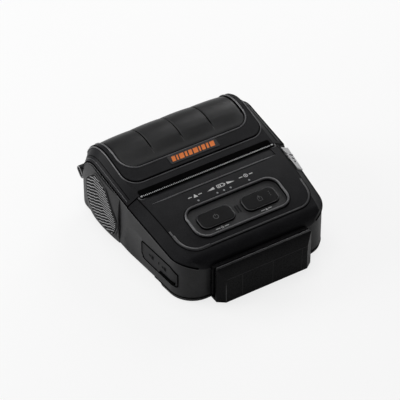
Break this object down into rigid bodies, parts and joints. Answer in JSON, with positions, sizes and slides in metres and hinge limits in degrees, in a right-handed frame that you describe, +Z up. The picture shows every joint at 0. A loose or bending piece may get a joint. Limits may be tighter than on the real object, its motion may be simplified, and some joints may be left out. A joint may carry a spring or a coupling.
{
  "type": "portable label printer",
  "caption": "Hand-sized thermal label and receipt printer with a hinged roll cover, two keys and a card swipe reader.",
  "frame": {"origin": "middle of the bounding box on the surface the printer lies on", "axes": "+X towards the release lever along the paper slot, +Y from the card reader to the hinge, +Z up"},
  "size_m": [0.1054, 0.1188, 0.0461],
  "materials": {
    "casing_grey": "satin",
    "grip_rubber": "ribbed",
    "cover_rubber": "matt",
    "socket_metal": "bright",
    "black_plastic": "matt",
    "board": "solder mask",
    "screw_steel": "zinc plated",
    "battery_plastic": "matt",
    "casing_black": "fine texture",
    "button_rubber": "satin",
    "lens": "translucent",
    "tear_steel": "bright",
    "pad_rubber": "matt",
    "plate_plastic": "matt",
    "liner_plastic": "matt",
    "platen_rubber": "ground",
    "shaft_steel": "ground",
    "bush_plastic": "natural",
    "gear_plastic": "natural",
    "gear_brass": "cut",
    "motor_steel": "plated",
    "frame_steel": "galvanised",
    "sink_aluminium": "extruded",
    "head_ceramic": "glazed",
    "spring_steel": "bright",
    "lever_grey": "satin",
    "reader_plastic": "satin",
    "head_metal": "polished",
    "lug_plastic": "satin"
  },
  "bodies": {
    "casing": {"lower_casing": "casing_grey", "grip_pad_left": "grip_rubber", "grip_pad_right": "grip_rubber", "usb_socket": "socket_metal", "dc_jack": "black_plastic", "main_board": "board", "base_screws": "screw_steel", "battery_pack": "battery_plastic", "battery_contacts": "black_plastic", "front_casing": "casing_black", "key_board": "board", "led_lenses": "lens", "tear_bar": "tear_steel", "chassis": "frame_steel", "head_shaft": "shaft_steel", "head_springs": "spring_steel", "stepper_motor": "motor_steel", "paper_bay": "liner_plastic", "paper_sensor": "black_plastic", "reader_plate": "reader_plastic", "reader_cover": "reader_plastic", "reader_head": "head_metal", "strap_lug_left": "lug_plastic", "strap_lug_right": "lug_plastic", "hinge_pin": "shaft_steel"},
    "roll_cover": {"lid_shell": "casing_black", "lid_pad": "pad_rubber", "name_plate": "plate_plastic", "lid_liner": "liner_plastic"},
    "platen": {"platen_roller": "platen_rubber", "platen_shaft": "shaft_steel", "platen_bushes": "bush_plastic", "platen_gear": "gear_plastic"},
    "reduction": {"reduction_gear": "gear_plastic"},
    "pinion": {"motor_pinion": "gear_brass"},
    "print_head": {"head_sink": "sink_aluminium", "thermal_head": "head_ceramic"},
    "latch": {"latch_shaft": "shaft_steel", "latch_hooks": "frame_steel"},
    "lever": {"release_lever": "lever_grey"},
    "power_key": {"power_button": "button_rubber"},
    "feed_key": {"feed_button": "button_rubber"},
    "socket_cover": {"port_cover": "cover_rubber"},
    "battery_catch": {"battery_latch": "black_plastic"}
  },
  "joints": [
    {"name": "cover_hinge", "type": "hinge", "parent": "casing", "child": "roll_cover", "pos_m": [0, 0.056, 0.0135], "axis": [-1, 0, 0], "range_deg": [0, 95]},
    {"name": "platen_spin", "type": "hinge", "parent": "roll_cover", "child": "platen", "pos_m": [0, 0.0084, 0.0285], "axis": [1, 0, 0], "continuous": true},
    {"name": "motor_spin", "type": "hinge", "parent": "casing", "child": "pinion", "pos_m": [-0.0464, -0.0029, 0.0164], "axis": [1, 0, 0], "continuous": true},
    {"name": "reduction_spin", "type": "hinge", "parent": "casing", "child": "reduction", "pos_m": [-0.0464, 0.00609, 0.02117], "axis": [1, 0, 0], "continuous": true},
    {"name": "head_tilt", "type": "hinge", "parent": "casing", "child": "print_head", "pos_m": [0, 0.0006, 0.0334], "axis": [-1, 0, 0], "range_deg": [0, 2.5], "stiffness_Nm_per_rad": 0.5, "springref_deg": -2.86},
    {"name": "latch_turn", "type": "hinge", "parent": "casing", "child": "latch", "pos_m": [0, -0.0077, 0.0305], "axis": [1, 0, 0], "range_deg": [0, 10], "stiffness_Nm_per_rad": 0.08, "springref_deg": -5.16},
    {"name": "lever_slide", "type": "slide", "parent": "casing", "child": "lever", "axis": [0, 1, 0], "range_m": [0, 0.002]},
    {"name": "power_press", "type": "slide", "parent": "casing", "child": "power_key", "axis": [0, 0.2068, -0.9784], "range_m": [0, 0.0006], "stiffness_N_per_m": 1500, "springref_m": -0.0003},
    {"name": "feed_press", "type": "slide", "parent": "casing", "child": "feed_key", "axis": [0, 0.2068, -0.9784], "range_m": [0, 0.0006], "stiffness_N_per_m": 1500, "springref_m": -0.0003},
    {"name": "socket_cover_swing", "type": "hinge", "parent": "casing", "child": "socket_cover", "pos_m": [-0.04869, -0.0117, 0.0153], "axis": [0, 0, -1], "range_deg": [0, 90]},
    {"name": "catch_slide", "type": "slide", "parent": "casing", "child": "battery_catch", "axis": [0, 1, 0], "range_m": [0, 0.0018], "stiffness_N_per_m": 500, "springref_m": -0.001}
  ],
  "couplings": [
    {"joint": "reduction_spin", "follows": "platen_spin", "ratio": -1.5},
    {"joint": "motor_spin", "follows": "platen_spin", "ratio": 4.5},
    {"joint": "lever_slide", "follows": "latch_turn", "m_per_rad": 0.011459}
  ]
}
